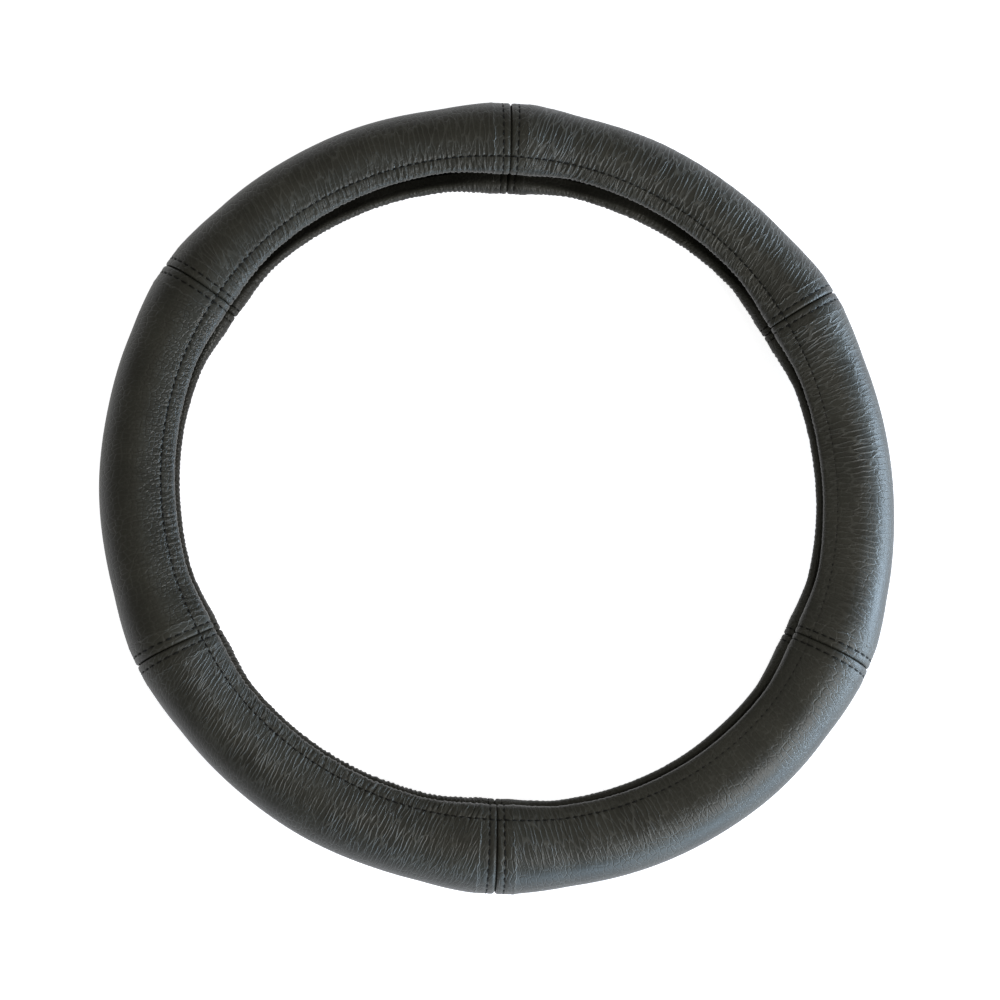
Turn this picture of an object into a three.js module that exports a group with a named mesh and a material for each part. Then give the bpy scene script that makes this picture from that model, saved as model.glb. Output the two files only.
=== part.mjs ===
// A sewn leather cover for a car's steering wheel, lying face up on a table.
// Millimetres, +Z up. The origin is on the table under the middle of the ring, and +Y is the
// top of the wheel. Six leather panels are wrapped round a rubber ring with a C-shaped section,
// turned under at its two lips and gathered there, and joined by open seams whose allowances are
// folded back and topstitched.
import * as THREE from 'three';

const degrees = THREE.MathUtils.degToRad;

/** An even wave round the ring: how many crests it has, how high, and the angle of one of them. */
function wave(crests, rise, angle) {
  return { crests, rise, angle: degrees(angle) };
}

/** Height of some waves together, at an angle. */
function heightOf(waves, angle) {
  return waves.reduce((sum, w) => sum + w.rise * Math.cos(w.crests * (angle - w.angle)), 0);
}

// Ring, over the leather and half way between two seams
const OUTER_DIAMETER = 384;
const OUT_OF_ROUND = [wave(2, 2.6, 144), wave(3, 0.6, 192), wave(4, 0.7, 49)];
const SEAM_ANGLES = [31.2, 88.7, 146.3, 206.2, 269, 334].map(degrees);

// Rubber ring: a round barrel that runs on into two flatter arms, on the middle of its wall
const WALL = 2.2;
const BARREL_RADIUS = 17;
const ARM_RADIUS = 50;
const FRONT_ARM = 10.6;
const FRONT_ARM_WAVES = [wave(1, 2, 270)];
const BACK_ARM = 11.5;
const BACK_ARM_WAVES = [wave(1, 2.6, 253), wave(2, 1.9, 102), wave(3, 1, 86)];
const GRIP_RIB_HEIGHT = 0.8;
const GRIP_RIB_WIDTH = 3;

// Leather
const LEATHER = 1.2;
const LINING_GAP = 0.3;
const PLY_GAP = 0.6;
const HEM = 6;
const LIP_EASE = 0.5;
const BACK_SEAM_REACH = 0.5;
const ALLOWANCE = 8;
const ALLOWANCE_CLEAR = 0.5;
const RAMP = 24;
const SEAM_GAP = 0.4;
const FOLD_ROUND = 1;

// Gathers along each lip, on every panel
const GATHERS = 25;
const GATHER_DEPTH = 0.45;

// Stitching
const THREAD = 0.6;
const THREAD_GAP = 0.15;
const THREAD_BELOW = 0.05;
const HEM_STITCH = 4.2;
const TOPSTITCH = 3.7;
const STITCH_DIMPLE = 1;

// Facets
const BARREL_FACETS = 7;
const PANEL_FACETS = 5;
const THREAD_SIDES = 3;

const LEATHER_FINISH = { color: 0x3a3a37, roughness: 0.55, metalness: 0 };
const RUBBER_FINISH = { color: 0x141414, roughness: 0.8, metalness: 0 };
const THREAD_FINISH = { color: 0x161616, roughness: 0.6, metalness: 0 };

// Layers, as distances out from the middle of the rubber wall
const RUBBER = WALL / 2;
const FLESH = RUBBER + LINING_GAP;
const FACE = FLESH + LEATHER;
const LIFT = LEATHER + PLY_GAP;
const STITCH_SINK = THREAD + THREAD_GAP + THREAD_BELOW;
const THREAD_RADIUS = THREAD / (1 + Math.cos(Math.PI / THREAD_SIDES));

// The barrel's facets are even, with one of them lying flat on the table at each seam
const FACET_TURN = Math.PI / (BARREL_FACETS - 1);
const BARREL_TURN = (Math.PI + FACET_TURN) / 2;
const BARREL_LENGTH = BARREL_RADIUS * BARREL_TURN;
const MIDDLE_HEIGHT = (BARREL_RADIUS + FACE + LIFT) * Math.sin(BARREL_TURN);
const MIDDLE_RADIUS = OUTER_DIAMETER / 2 - BARREL_RADIUS - FACE;
const RIDGE = ALLOWANCE + ALLOWANCE_CLEAR;

/** Turns a distance along the ring, at the middle of the section, into an angle. */
function alongRing(distance) {
  return distance / MIDDLE_RADIUS;
}

/** Distance round the ring from an angle to the nearest seam. */
function toNearestSeam(angle) {
  const gaps = SEAM_ANGLES.map((seam) => {
    const turn = THREE.MathUtils.euclideanModulo(angle - seam, 2 * Math.PI);
    return Math.min(turn, 2 * Math.PI - turn);
  });
  return Math.min(...gaps) * MIDDLE_RADIUS;
}

/** 1 over the doubled leather of a seam, falling to 0 at the foot of its ramp. */
function seamShare(angle) {
  return 1 - THREE.MathUtils.clamp((toNearestSeam(angle) - RIDGE) / RAMP, 0, 1);
}

/** Length of the wall's middle from the outermost line to a lip, at an angle. */
function lipDistance(side, angle) {
  const arm = side > 0
    ? FRONT_ARM + heightOf(FRONT_ARM_WAVES, angle)
    : BACK_ARM + heightOf(BACK_ARM_WAVES, angle) + BACK_SEAM_REACH * seamShare(angle);
  return BARREL_LENGTH + arm;
}

/** Point and outward normal on the middle of the rubber wall, in the section's own plane. */
function wallMiddle(distance) {
  const turn = distance / BARREL_RADIUS;
  if (turn <= BARREL_TURN) {
    const normal = new THREE.Vector2(Math.cos(turn), Math.sin(turn));
    return { point: normal.clone().multiplyScalar(BARREL_RADIUS), normal };
  }
  const centre = new THREE.Vector2(Math.cos(BARREL_TURN), Math.sin(BARREL_TURN));
  centre.multiplyScalar(BARREL_RADIUS - ARM_RADIUS);
  const armTurn = BARREL_TURN + (distance - BARREL_LENGTH) / ARM_RADIUS;
  const normal = new THREE.Vector2(Math.cos(armTurn), Math.sin(armTurn));
  return { point: centre.addScaledVector(normal, ARM_RADIUS), normal };
}

/**
 * A line that runs round the ring. `side` is 1 for the front and -1 for the back; `barrel` is its
 * turn round the barrel, or else `fromLip` its distance back from the lip; `turn` is how far it
 * has gone round the lip, up to half a turn on the inside of the wall.
 */
function line(side, { barrel, fromLip = 0, turn = 0, ...marks }) {
  return { side, barrel, fromLip, turn, ...marks };
}

/** Direction from the wall's middle and the foot it starts at, in space, for a line at an angle. */
function stand({ side, barrel, fromLip, turn }, angle) {
  const distance = barrel === undefined ? lipDistance(side, angle) - fromLip : BARREL_RADIUS * barrel;
  const { point, normal } = wallMiddle(distance);
  const towardsLip = new THREE.Vector2(-normal.y, normal.x);
  const outward = normal.clone().multiplyScalar(Math.cos(turn));
  outward.addScaledVector(towardsLip, Math.sin(turn));
  const radius = MIDDLE_RADIUS + heightOf(OUT_OF_ROUND, angle) + point.x;
  const height = MIDDLE_HEIGHT + side * point.y;
  const cos = Math.cos(angle);
  const sin = Math.sin(angle);
  return {
    foot: new THREE.Vector3(radius * cos, radius * sin, height),
    outward: new THREE.Vector3(outward.x * cos, outward.x * sin, side * outward.y),
    round: new THREE.Vector3(-sin, cos, 0),
  };
}

/** Point in space at a depth out from the wall's middle, where leather stands off at the lip. */
function place(at, angle, depth) {
  const { foot, outward } = stand(at, angle);
  return foot.addScaledVector(outward, depth + LIP_EASE * Math.sin(at.turn));
}

/** Triangles between two rows of numbered vertices, each placed by its share along the row. */
function zip(near, far, triangles) {
  let i = 0;
  let j = 0;
  while (i < near.length - 1 || j < far.length - 1) {
    const nearNext = i < near.length - 1 ? near[i + 1].share : Infinity;
    const farNext = j < far.length - 1 ? far[j + 1].share : Infinity;
    if (nearNext <= farNext) {
      triangles.push(near[i].index, far[j].index, near[i + 1].index);
      i += 1;
    } else {
      triangles.push(near[i].index, far[j].index, far[j + 1].index);
      j += 1;
    }
  }
}

/** Closed solid whose skin is zipped from rows of points, each row a list of { point, share }. */
class Skin {
  constructor() {
    this.positions = [];
    this.triangles = [];
  }

  row(points) {
    return points.map(({ point, share }) => {
      this.positions.push(point.x, point.y, point.z);
      return { index: this.positions.length / 3 - 1, share };
    });
  }

  join(rows) {
    rows.slice(1).forEach((row, i) => zip(rows[i], row, this.triangles));
  }

  geometry() {
    const geometry = new THREE.BufferGeometry();
    geometry.setAttribute('position', new THREE.Float32BufferAttribute(this.positions, 3));
    geometry.setIndex(this.triangles);
    geometry.computeVertexNormals();
    return geometry;
  }
}

/** The vertices at one end of each row, numbered along the end. */
function endOf(rows, last) {
  return rows.map((row, i) => ({ index: (last ? row.at(-1) : row[0]).index, share: i }));
}

/** Turns round the barrel of the lines between its facets, on one side of the outermost line. */
function barrelTurns() {
  const turns = [];
  for (let turn = BARREL_TURN; turn > 0; turn -= FACET_TURN) {
    turns.push(turn);
  }
  return turns;
}

/** Lines of the leather from the free edge of the hem round the lip to the outermost line. */
function leatherLines(side) {
  return [
    line(side, { fromLip: HEM, turn: Math.PI }),
    line(side, { turn: 0.75 * Math.PI }),
    line(side, { turn: 0.25 * Math.PI, gathered: true }),
    line(side, { fromLip: HEM_STITCH, stitched: true }),
    ...barrelTurns().map((barrel) => line(side, { barrel })),
  ];
}

/** All lines of the leather, from the front hem over the barrel to the back hem. */
const LEATHER_LINES = [...leatherLines(1), ...leatherLines(-1).reverse()];

/** Columns of the finished face at a seam, from the allowance's free edge over the fold. */
const FACE_COLUMNS = [
  { from: ALLOWANCE, depth: FLESH },
  { from: FOLD_ROUND + SEAM_GAP / 2, depth: FLESH },
  { from: SEAM_GAP / 2, depth: (FLESH + FACE + LIFT) / 2 },
  { from: FOLD_ROUND + SEAM_GAP / 2, depth: FACE + LIFT },
  { from: TOPSTITCH, depth: FACE + LIFT - STITCH_SINK },
  { from: TOPSTITCH + STITCH_DIMPLE, depth: FACE + LIFT },
  { from: RIDGE, depth: FACE + LIFT },
  { from: RIDGE + RAMP, depth: FACE },
];

/** Columns of the flesh side at a seam, from the allowance's free edge into the fold. */
const FLESH_COLUMNS = [
  { from: ALLOWANCE, depth: FACE },
  { from: FOLD_ROUND + LEATHER / 2, depth: FACE + PLY_GAP / 2 },
  { from: RIDGE, depth: FLESH + LIFT },
  { from: RIDGE + RAMP, depth: FLESH },
];

/** Two seams' columns with even ones of one depth between them, as angles round the ring. */
function panelColumns(start, end, edge, depth) {
  const foot = alongRing(RIDGE + RAMP);
  const middle = Array.from({ length: PANEL_FACETS - 1 }, (_, i) => ({
    angle: THREE.MathUtils.lerp(start + foot, end - foot, (i + 1) / PANEL_FACETS),
    depth,
  }));
  return [
    ...edge.map((column) => ({ ...column, angle: start + alongRing(column.from) })),
    ...middle,
    ...edge.map((column) => ({ ...column, angle: end - alongRing(column.from) })).reverse(),
  ];
}

/** The same columns with gathers in place of all that lies between the two ridges. */
function gatheredColumns(start, end) {
  const edge = FACE_COLUMNS.slice(0, -1);
  const ridge = alongRing(RIDGE);
  const folds = Array.from({ length: 2 * GATHERS - 1 }, (_, i) => {
    const angle = THREE.MathUtils.lerp(start + ridge, end - ridge, (i + 1) / (2 * GATHERS));
    const depth = FACE + LIFT * seamShare(angle);
    return { angle, depth: i % 2 ? depth - GATHER_DEPTH : depth + GATHER_DEPTH };
  });
  return [
    ...edge.map((column) => ({ ...column, angle: start + alongRing(column.from) })),
    ...folds,
    ...edge.map((column) => ({ ...column, angle: end - alongRing(column.from) })).reverse(),
  ];
}

/** Shares along a row that pair the columns of rows with unlike numbers of them. */
function sharesOf(columns, start, end) {
  const widest = Math.max(...columns.map(({ from }) => from ?? 0));
  const edgeCount = columns.filter(({ from }) => from !== undefined).length / 2;
  const inset = alongRing(widest);
  return columns.map(({ angle, from }, i) => {
    if (from === undefined) {
      return 1 + (angle - start - inset) / (end - start - 2 * inset);
    }
    const fromEnd = Math.min(i, columns.length - 1 - i) / (edgeCount - 1);
    return i < columns.length / 2 ? fromEnd : 3 - fromEnd;
  });
}

/** One leather panel between two seams, with its hems turned under and its allowances folded. */
function panelGeometry(start, end) {
  const skin = new Skin();
  const faceColumns = panelColumns(start, end, FACE_COLUMNS, FACE);
  const fleshColumns = panelColumns(start, end, FLESH_COLUMNS, FLESH);
  const gathered = gatheredColumns(start, end);
  const rowOf = (at, columns, depthOf) => {
    const shares = sharesOf(columns, start, end);
    return skin.row(columns.map((column, i) => ({
      point: place(at, column.angle, depthOf(column)),
      share: shares[i],
    })));
  };
  const faceRows = LEATHER_LINES.map((at) => {
    const sink = at.stitched ? STITCH_SINK : 0;
    const depthOf = ({ depth, angle }) => Math.min(depth, FACE + LIFT * seamShare(angle) - sink);
    return at.gathered
      ? rowOf(at, gathered, ({ depth }) => depth)
      : rowOf(at, faceColumns, depthOf);
  });
  const fleshRows = LEATHER_LINES.map((at) => rowOf(at, fleshColumns, ({ depth }) => depth));
  skin.join([...faceRows, ...fleshRows.reverse(), faceRows[0]]);
  fleshRows.reverse();
  zip(endOf(faceRows, false), endOf(fleshRows, false), skin.triangles);
  zip(endOf(fleshRows, true), endOf(faceRows, true), skin.triangles);
  return skin.geometry();
}

/** Angles of the ring's stations: the feet and tops of the seams' ramps, and the facets between. */
function ringStations() {
  return SEAM_ANGLES.flatMap((start, i) => {
    const next = SEAM_ANGLES[i + 1] ?? SEAM_ANGLES[0] + 2 * Math.PI;
    const edge = [{ from: RIDGE }, { from: RIDGE + RAMP }];
    return panelColumns(start, next, edge, 0).map(({ angle }) => angle);
  });
}

/** The rubber ring, with one grip rib round the inside of its barrel. */
function rubberGeometry() {
  const ribTurn = GRIP_RIB_WIDTH / 2 / (BARREL_RADIUS - RUBBER);
  const half = (side) => [
    ...barrelTurns().reverse().map((barrel) => [line(side, { barrel }), RUBBER]),
    [line(side, {}), RUBBER],
    [line(side, {}), -RUBBER],
    [line(side, { fromLip: HEM }), -RUBBER],
    [line(side, { barrel: BARREL_TURN }), -RUBBER],
    [line(side, { barrel: BARREL_TURN / 2 }), -RUBBER],
    [line(side, { barrel: ribTurn }), -RUBBER],
  ];
  const section = [
    ...half(1),
    [line(1, { barrel: 0 }), -RUBBER - GRIP_RIB_HEIGHT],
    ...half(-1).reverse(),
  ];
  const skin = new Skin();
  const stations = ringStations();
  const rows = section.map(([at, depth]) => {
    const row = skin.row(stations.map((angle, i) => ({ point: place(at, angle, depth), share: i })));
    return [...row, { index: row[0].index, share: stations.length }];
  });
  skin.join([rows[0], ...rows.slice(1).reverse(), rows[0]]);
  return skin.geometry();
}

/** A thread through stations of { centre, side, up }, closed on itself or with flat ends. */
function threadGeometry(stations, closed) {
  const skin = new Skin();
  const rings = stations.map(({ centre, side, up }) => {
    const ring = skin.row(Array.from({ length: THREAD_SIDES }, (_, i) => {
      const turn = -Math.PI / 2 - (2 * Math.PI * i) / THREAD_SIDES;
      const point = centre.clone().addScaledVector(side, THREAD_RADIUS * Math.cos(turn));
      return { point: point.addScaledVector(up, THREAD_RADIUS * Math.sin(turn)), share: i };
    }));
    return [...ring, { index: ring[0].index, share: THREAD_SIDES }];
  });
  skin.join(closed ? [...rings, rings[0]] : rings);
  if (!closed) {
    const corners = (ring) => ring.slice(0, THREAD_SIDES).map(({ index }) => index);
    const cap = (indices) => indices.slice(2).forEach((_, i) => {
      skin.triangles.push(indices[0], indices[i + 1], indices[i + 2]);
    });
    cap(corners(rings[0]));
    cap(corners(rings.at(-1)).reverse());
  }
  return skin.geometry();
}

/** Station of a thread whose foot is at a depth, on a line and at an angle. */
function threadStation(at, angle, footDepth, alongLine) {
  const { outward, round } = stand(at, angle);
  const centre = place(at, angle, footDepth + THREAD_RADIUS);
  const across = outward.clone().cross(round);
  return { centre, side: alongLine ? across : round, up: outward };
}

/** The row of topstitching beside a seam; `way` is 1 on its far side and -1 on its near side. */
function topstitchGeometry(seam, way) {
  const angle = seam + way * alongRing(TOPSTITCH);
  const foot = FACE + LIFT - STITCH_SINK + THREAD_GAP;
  return threadGeometry(LEATHER_LINES.map((at) => threadStation(at, angle, foot, false)), false);
}

/** The thread that closes a seam, in the valley under the two folds. */
function closingGeometry(seam) {
  const foot = FLESH + THREAD_GAP / 2;
  return threadGeometry(LEATHER_LINES.map((at) => threadStation(at, seam, foot, false)), false);
}

/** The row of stitching that holds a hem, hopping over each row of topstitching it meets. */
function hemStitchGeometry(side) {
  const at = line(side, { fromLip: HEM_STITCH });
  const stations = SEAM_ANGLES.flatMap((start, i) => {
    const next = SEAM_ANGLES[i + 1] ?? SEAM_ANGLES[0] + 2 * Math.PI;
    const top = FACE_COLUMNS.slice(3);
    return panelColumns(start, next, top, FACE).map(({ angle, from }) => {
      const leather = FACE + LIFT * seamShare(angle) - STITCH_SINK;
      const hop = from === TOPSTITCH ? THREAD + THREAD_GAP : 0;
      return threadStation(at, angle, leather + THREAD_GAP + hop, true);
    });
  });
  return threadGeometry(stations, true);
}

/** A named mesh with its own material. */
function piece(name, geometry, finish) {
  const mesh = new THREE.Mesh(geometry, new THREE.MeshStandardMaterial(finish));
  mesh.name = name;
  return mesh;
}

const cover = new THREE.Group();
cover.add(piece('rubber_ring', rubberGeometry(), RUBBER_FINISH));
SEAM_ANGLES.forEach((seam, i) => {
  const next = SEAM_ANGLES[i + 1] ?? SEAM_ANGLES[0] + 2 * Math.PI;
  const number = i + 1;
  cover.add(
    piece(`leather_panel_${number}`, panelGeometry(seam, next), LEATHER_FINISH),
    piece(`seam_${number}_closing_thread`, closingGeometry(seam), THREAD_FINISH),
    piece(`seam_${number}_topstitch_near`, topstitchGeometry(seam, -1), THREAD_FINISH),
    piece(`seam_${number}_topstitch_far`, topstitchGeometry(seam, 1), THREAD_FINISH),
  );
});
cover.add(
  piece('front_hem_stitching', hemStitchGeometry(1), THREAD_FINISH),
  piece('back_hem_stitching', hemStitchGeometry(-1), THREAD_FINISH),
);

export default cover;
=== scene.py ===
"""A sewn leather steering wheel cover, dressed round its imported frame.

Six leather panels are wrapped over a rubber ring, folded back at their seams, topstitched, and
turned under and gathered at the two lips. Everything is in metres, with the ring's axis along Z.
"""

from __future__ import annotations

import logging
import math
from dataclasses import dataclass, field
from enum import Enum

import bpy
import numpy as np
from mathutils import Matrix, Vector


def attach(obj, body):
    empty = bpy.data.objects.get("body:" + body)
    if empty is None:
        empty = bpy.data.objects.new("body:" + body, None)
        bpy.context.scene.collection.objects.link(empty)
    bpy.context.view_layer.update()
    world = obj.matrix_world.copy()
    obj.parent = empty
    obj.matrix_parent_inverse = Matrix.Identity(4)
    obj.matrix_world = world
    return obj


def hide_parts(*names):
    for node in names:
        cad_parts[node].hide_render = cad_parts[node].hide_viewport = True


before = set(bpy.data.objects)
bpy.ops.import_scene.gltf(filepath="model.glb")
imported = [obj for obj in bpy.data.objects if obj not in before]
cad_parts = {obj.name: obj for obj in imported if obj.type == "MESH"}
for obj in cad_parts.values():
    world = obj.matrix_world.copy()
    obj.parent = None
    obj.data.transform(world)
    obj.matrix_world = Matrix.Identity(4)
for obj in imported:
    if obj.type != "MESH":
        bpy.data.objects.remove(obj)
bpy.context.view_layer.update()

LOG = logging.getLogger("cover")
MM = 0.001


def ease(low: float, high: float, value: np.ndarray) -> np.ndarray:
    """Smooth step from 0 at low to 1 at high.

    Args:
        low: The value at which the step starts.
        high: The value at which it ends.
        value: The values to step.

    Returns:
        The share of the step done at each value.
    """
    share = np.clip((value - low) / (high - low), 0, 1)
    return share * share * (3 - 2 * share)


def bell(centre: float, width: float, value: np.ndarray) -> np.ndarray:
    """A smooth bump of height 1.

    Args:
        centre: Where the bump stands.
        width: Its half width, at about a third of its height.
        value: The values at which it is wanted.

    Returns:
        Its height at each value.
    """
    return np.exp(-(((value - centre) / width) ** 2))


def softened(base: float, share: np.ndarray | Value) -> np.ndarray | Value:
    """Softens the swing of a share.

    Args:
        base: What 0 becomes.
        share: The share, or a wave or noise from -1 to 1. Where it is 1 it stays 1.

    Returns:
        The softened share.
    """
    return base + (1 - base) * share


def points_of(mesh: bpy.types.Mesh) -> np.ndarray:
    """The places of a mesh's points, one row each."""
    flat = np.empty(len(mesh.vertices) * 3)
    mesh.vertices.foreach_get("co", flat)
    return flat.reshape(-1, 3)


def move_points(mesh: bpy.types.Mesh, points: np.ndarray) -> None:
    """Moves a mesh's points to new places, one row each."""
    mesh.vertices.foreach_set("co", points.astype(np.float32).ravel())
    mesh.update()


@dataclass(frozen=True)
class Cells:
    """The cells of a noise.

    Attributes:
        along: Their length along the ring.
        across: Their length across the band.
        first: The first one's number, which keeps two noises over one hide apart.
    """

    along: float
    across: float
    first: int = 0


class Hide:
    """Smooth repeatable noise over one piece of leather."""

    SIZE = 256

    def __init__(self, seed: int) -> None:
        """Draws the table of heights.

        Args:
            seed: The draw's seed.
        """
        self.table = np.random.default_rng(seed).uniform(-1, 1, (self.SIZE, self.SIZE))

    def __call__(self, along: np.ndarray, across: np.ndarray) -> np.ndarray:
        """Noise from -1 to 1 at places given in cells.

        Args:
            along: Places along the ring, in cells.
            across: Places across the band, in cells.

        Returns:
            The noise at each place.
        """
        along, across = np.broadcast_arrays(along, across)
        i, j = np.floor(along).astype(int), np.floor(across).astype(int)
        s, t = ease(0, 1, along - i), ease(0, 1, across - j)
        near = self._at(i, j) * (1 - s) + self._at(i + 1, j) * s
        far = self._at(i, j + 1) * (1 - s) + self._at(i + 1, j + 1) * s
        return near * (1 - t) + far * t

    def _at(self, i: np.ndarray, j: np.ndarray) -> np.ndarray:
        """Heights of the table's cells, which repeat."""
        return self.table[i % self.SIZE, j % self.SIZE]


@dataclass(frozen=True)
class Leather:
    """How the leather is cut, folded and sewn.

    Attributes:
        thickness: Thickness of the hide.
        ply_gap: Gap between two layers of it.
        hem: Width that is turned under at a lip.
        lip_ease: How much looser it runs round a lip.
        allowance: Width that is folded under at a seam.
        ridge: Distance from a seam at which its doubled leather starts to fall.
        ramp: Length of that fall.
        ramp_round: How far the fall's two ends are rounded.
        seam_gap: Gap between the two folds of a seam.
        fold_square: 1 for a round fold, and less for a squarer one.
        topstitch: Distance of a topstitch from its seam.
        topstitch_pitch: Length that each of its stitches takes.
        hem_stitch: Distance of the hem's stitches from the start of the lip's bend.
        hem_pitch: Length that each of them takes.
        groove: Depth of the groove that a row of stitches draws.
        thread: Thickness of the thread.
    """

    thickness: float = 1.2 * MM
    ply_gap: float = 0.6 * MM
    hem: float = 6 * MM
    lip_ease: float = 0.5 * MM
    allowance: float = 8 * MM
    ridge: float = 8.5 * MM
    ramp: float = 24 * MM
    ramp_round: float = 2.5 * MM
    seam_gap: float = 0.12 * MM
    fold_square: float = 0.65
    topstitch: float = 3.7 * MM
    topstitch_pitch: float = 3.7 * MM
    hem_stitch: float = 4.2 * MM
    hem_pitch: float = 3.9 * MM
    groove: float = 0.5 * MM
    thread: float = 0.56 * MM

    @property
    def lift(self) -> float:
        """How far a folded allowance lifts the leather over it."""
        return self.thickness + self.ply_gap


@dataclass(frozen=True)
class Wave:
    """An even wave round the ring: how many crests it has, how high, and the angle of one."""

    crests: int
    rise: float
    degrees: float

    def at(self, angle: np.ndarray) -> np.ndarray:
        """Height of the wave at each angle, in metres."""
        return self.rise * MM * np.cos(self.crests * (angle - math.radians(self.degrees)))


@dataclass(frozen=True)
class Ring:
    """The ring's section, a round barrel that runs on into two flatter arms.

    Attributes:
        outer_diameter: Diameter over the leather between its seams.
        out_of_round: Waves of its radius.
        seams: Angles of the seams.
        wall: Thickness of the rubber.
        barrel_radius: Radius of the barrel, to the middle of the wall.
        barrel_turn: How far the barrel turns on each side of its outermost line.
        arm_radius: Radius to which the arms are bent.
        front_arm: Length of the front arm.
        front_arm_waves: Waves of that length.
        back_arm: Length of the back arm.
        back_arm_waves: Waves of that length.
        back_seam_reach: How much further the back lip reaches at a seam.
        lining_gap: Gap between the rubber and the leather.
        rib_height: Height of the rubber's grip rib.
        pressed: How softly the back is pressed flat on the table.
        bite_angle: Angle at which the hem's stitches bite most.
        bite_cosines: Cosines of the turns from there where the bite starts and is full.
        leather: The leather on the ring.
    """

    outer_diameter: float = 384 * MM
    out_of_round: tuple[Wave, ...] = (Wave(2, 2.6, 144), Wave(3, 0.6, 192), Wave(4, 0.7, 49))
    seams: tuple[float, ...] = tuple(math.radians(a) for a in (31.2, 88.7, 146.3, 206.2, 269, 334))
    wall: float = 2.2 * MM
    barrel_radius: float = 17 * MM
    barrel_turn: float = math.radians(105)
    arm_radius: float = 50 * MM
    front_arm: float = 10.6 * MM
    front_arm_waves: tuple[Wave, ...] = (Wave(1, 2, 270),)
    back_arm: float = 11.5 * MM
    back_arm_waves: tuple[Wave, ...] = (Wave(1, 2.6, 253), Wave(2, 1.9, 102), Wave(3, 1, 86))
    back_seam_reach: float = 0.5 * MM
    lining_gap: float = 0.3 * MM
    rib_height: float = 0.8 * MM
    pressed: float = 0.12 * MM
    bite_angle: float = math.radians(335)
    bite_cosines: tuple[float, float] = (0.5, 0.9)
    leather: Leather = Leather()

    @property
    def hem_stitches(self) -> int:
        """How many stitches each hem has."""
        return round(2 * math.pi * self.middle_radius / self.leather.hem_pitch)

    @property
    def flesh(self) -> float:
        """Depth of the leather's inner side, out from the middle of the wall."""
        return self.wall / 2 + self.lining_gap

    @property
    def face(self) -> float:
        """Depth of the leather's face where it is one layer thick."""
        return self.flesh + self.leather.thickness

    @property
    def crest(self) -> float:
        """Length of leather from the start of a lip's bend to its crest."""
        return (self.flesh + self.leather.thickness / 2) * math.pi / 2

    @property
    def middle_radius(self) -> float:
        """Radius of the barrel's own centre line."""
        return self.outer_diameter / 2 - self.barrel_radius - self.face

    @property
    def middle_height(self) -> float:
        """Height of the barrel's centre line over the table."""
        proud = self.barrel_radius + self.face + self.leather.lift
        return proud * math.sin(self.barrel_turn)

    @property
    def barrel_length(self) -> float:
        """Length of the wall from its outermost line to the arm."""
        return self.barrel_radius * self.barrel_turn

    def to_seam(self, angle: np.ndarray) -> np.ndarray:
        """Distance along the ring to the nearest seam, at each angle."""
        turns = [np.mod(angle - seam + np.pi, 2 * np.pi) - np.pi for seam in self.seams]
        return np.min(np.abs(turns), axis=0) * self.middle_radius

    def bite(self, angle: np.ndarray) -> np.ndarray:
        """How deep the hem's stitches bite, from 0 to 1 about the angle where they bite most."""
        return ease(*self.bite_cosines, np.cos(angle - self.bite_angle))

    def ramp(self, off: np.ndarray) -> np.ndarray:
        """1 over a seam's doubled leather, falling to 0 at the foot of its ramp.

        Args:
            off: Distances along the ring from the seam.

        Returns:
            The share at each distance.
        """
        leather = self.leather
        nudges = (-leather.ramp_round, 0, leather.ramp_round)
        shares = [np.clip((off + nudge - leather.ridge) / leather.ramp, 0, 1) for nudge in nudges]
        return 1 - np.mean(shares, axis=0)

    def seam_share(self, angle: np.ndarray) -> np.ndarray:
        """How much a seam lifts the leather, from 0 to 1, at each angle."""
        return self.ramp(self.to_seam(angle))

    def lip(self, side: np.ndarray, angle: np.ndarray) -> np.ndarray:
        """Length of the wall from its outermost line to a lip.

        Args:
            side: 1 for the front and -1 for the back.
            angle: Where round the ring.

        Returns:
            The length at each angle.
        """
        front = self.front_arm + sum(wave.at(angle) for wave in self.front_arm_waves)
        back = self.back_arm + sum(wave.at(angle) for wave in self.back_arm_waves)
        back = back + self.back_seam_reach * self.seam_share(angle)
        return self.barrel_length + np.where(side > 0, front, back)

    def stand(
        self, side: np.ndarray, angle: np.ndarray, distance: np.ndarray, turn: np.ndarray
    ) -> tuple[np.ndarray, np.ndarray]:
        """Foot on the middle of the wall and the direction out from it.

        Args:
            side: 1 for the front and -1 for the back.
            angle: Where round the ring.
            distance: How far along the wall from its outermost line.
            turn: How far round the lip, up to half a turn on the inside.

        Returns:
            The feet and the directions, one row each.
        """
        spin = distance / self.barrel_radius
        bend = self.barrel_turn + (distance - self.barrel_length) / self.arm_radius
        on_arm = distance > self.barrel_length
        lean = np.where(on_arm, bend, spin)
        hub = np.where(on_arm, self.barrel_radius - self.arm_radius, 0)
        radius = np.where(on_arm, self.arm_radius, self.barrel_radius)
        x = hub * math.cos(self.barrel_turn) + radius * np.cos(lean)
        z = hub * math.sin(self.barrel_turn) + radius * np.sin(lean)
        out_x, out_z = np.cos(lean + turn), np.sin(lean + turn)
        reach = self.middle_radius + sum(wave.at(angle) for wave in self.out_of_round) + x
        cos, sin = np.cos(angle), np.sin(angle)
        foot = np.stack([reach * cos, reach * sin, self.middle_height + side * z], -1)
        outward = np.stack([out_x * cos, out_x * sin, side * out_z], -1)
        return foot, outward

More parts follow.
